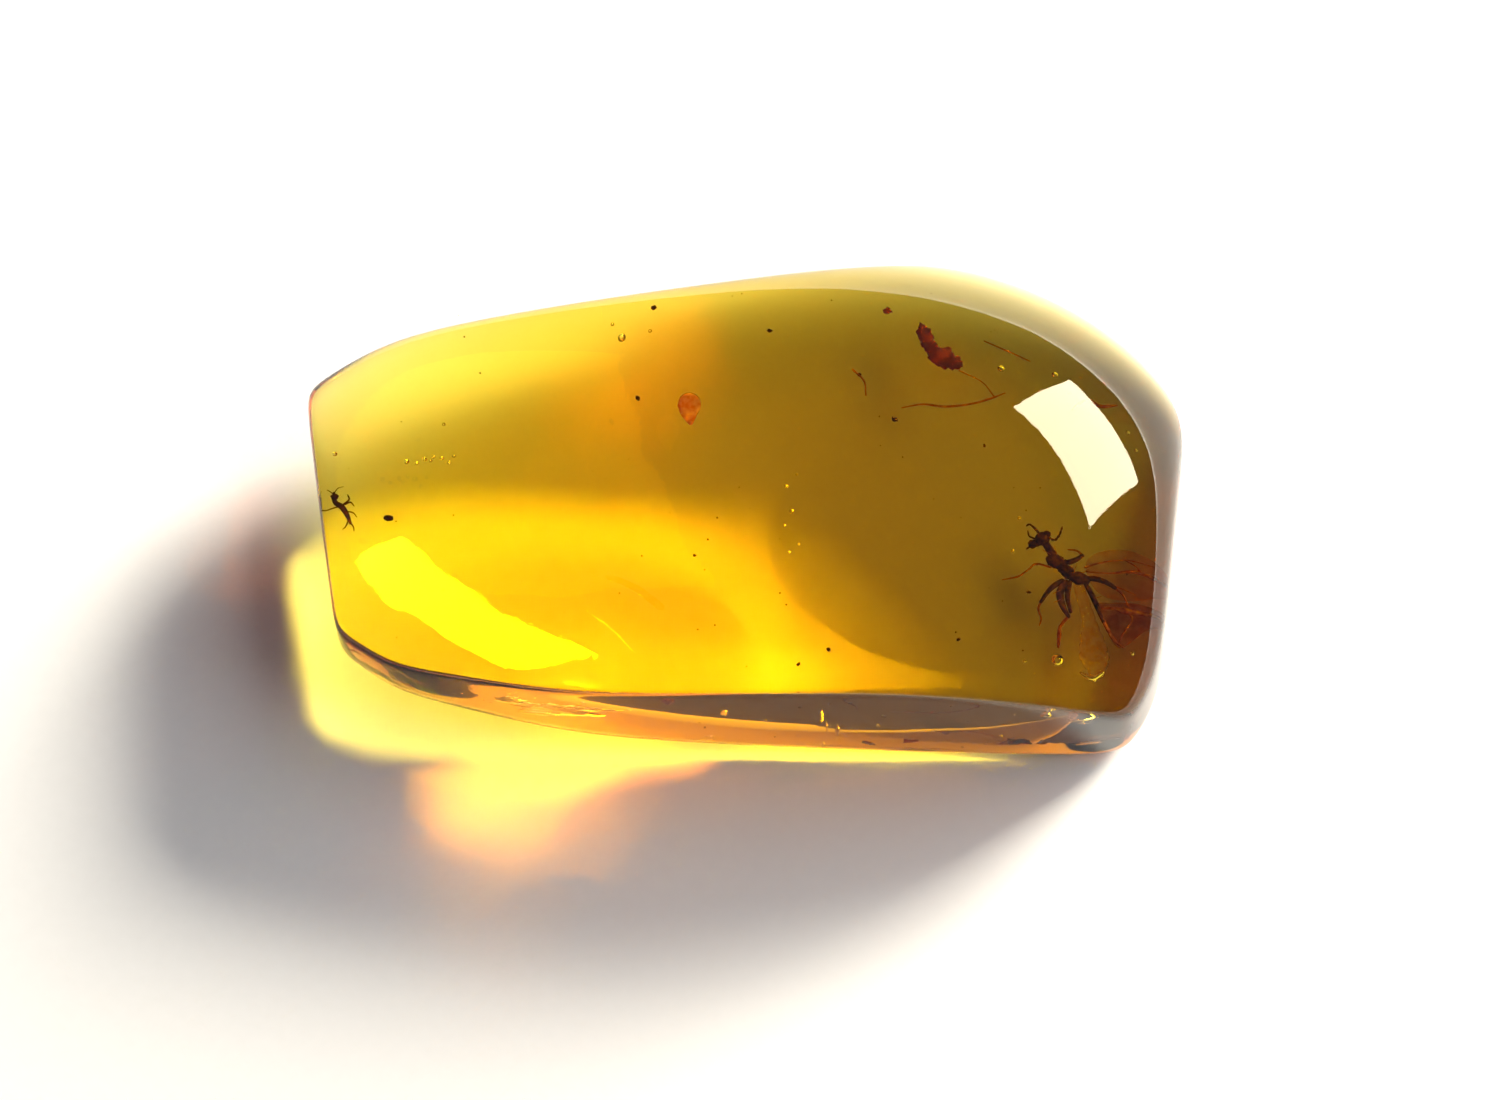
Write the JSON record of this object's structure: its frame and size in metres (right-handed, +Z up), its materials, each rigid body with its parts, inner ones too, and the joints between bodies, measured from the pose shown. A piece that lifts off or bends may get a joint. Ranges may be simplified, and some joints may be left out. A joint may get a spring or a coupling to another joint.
{
  "type": "insect in amber",
  "caption": "Tumbled, polished lump of clear golden amber lying on its rounded underside, with a midge, a smaller insect, bubbles and specks sealed inside.",
  "frame": {"origin": "middle of the bounding box, on the underside", "axes": "+X along the length, towards the thick end; +Y towards the back, where the top rolls over; +Z up"},
  "size_m": [0.0242, 0.0144, 0.0052],
  "materials": {
    "amber": "polished clear amber, golden yellow, see-through",
    "insect": "dark brown fossil insect, dull",
    "film": "thin brown wing, flake and resin film, half see-through",
    "bubble": "clear air bubble",
    "lint": "fine pale lint fibre"
  },
  "bodies": {
    "root": {"amber": "amber"}
  },
  "joints": []
}
